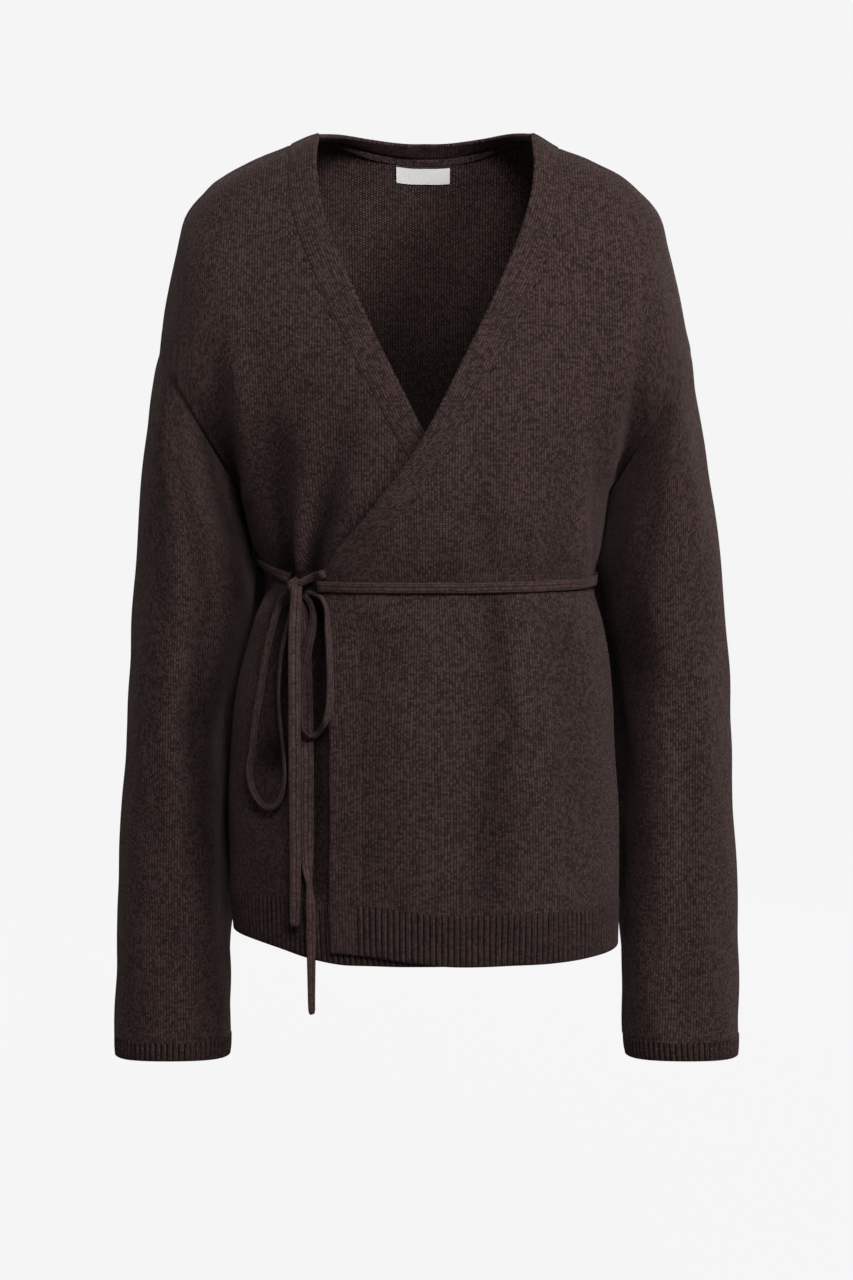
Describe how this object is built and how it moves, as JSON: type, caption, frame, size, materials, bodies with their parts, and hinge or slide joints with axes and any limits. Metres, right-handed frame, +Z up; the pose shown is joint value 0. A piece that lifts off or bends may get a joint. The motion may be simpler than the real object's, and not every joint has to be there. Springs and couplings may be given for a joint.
{
  "type": "wrap cardigan",
  "caption": "Wrap cardigan in plain dark knit, hollow as worn: crossed V front, long dropped sleeves, ribbed hem and cuffs, and a narrow tie belt in a bow at the wearer's right.",
  "frame": {"origin": "on the centre line at the height of the two neck points, in the plane of the shoulder line, where the shoulders hold the garment up", "axes": "+Z up, the front faces -Y, +X towards the wearer's left"},
  "size_m": [0.516, 0.2399, 0.7543],
  "materials": {
    "body_knit": "brushed stocking stitch in dark brown wool, matt and a little fuzzy",
    "rib_knit": "one by one rib in the same yarn",
    "neck_knit": "the same knit, folded double at the back neck",
    "tie_knit": "narrow flat strap knitted in the same yarn",
    "label_satin": "bare white woven satin"
  },
  "bodies": {
    "root": {"back": "body_knit", "front_left": "body_knit", "front_right": "body_knit", "sleeve_left": "body_knit", "sleeve_right": "body_knit", "hem_rib_back": "rib_knit", "hem_rib_front_left": "rib_knit", "hem_rib_front_right": "rib_knit", "cuff_rib_left": "rib_knit", "cuff_rib_right": "rib_knit", "neckband_left": "neck_knit", "neckband_right": "neck_knit", "neck_tape": "neck_knit", "belt_long": "tie_knit", "tie_short": "tie_knit", "bow_knot": "tie_knit", "bow_loop_left": "tie_knit", "bow_loop_right": "tie_knit", "tie_end_short": "tie_knit", "tie_end_long": "tie_knit", "label": "label_satin"}
  },
  "joints": []
}
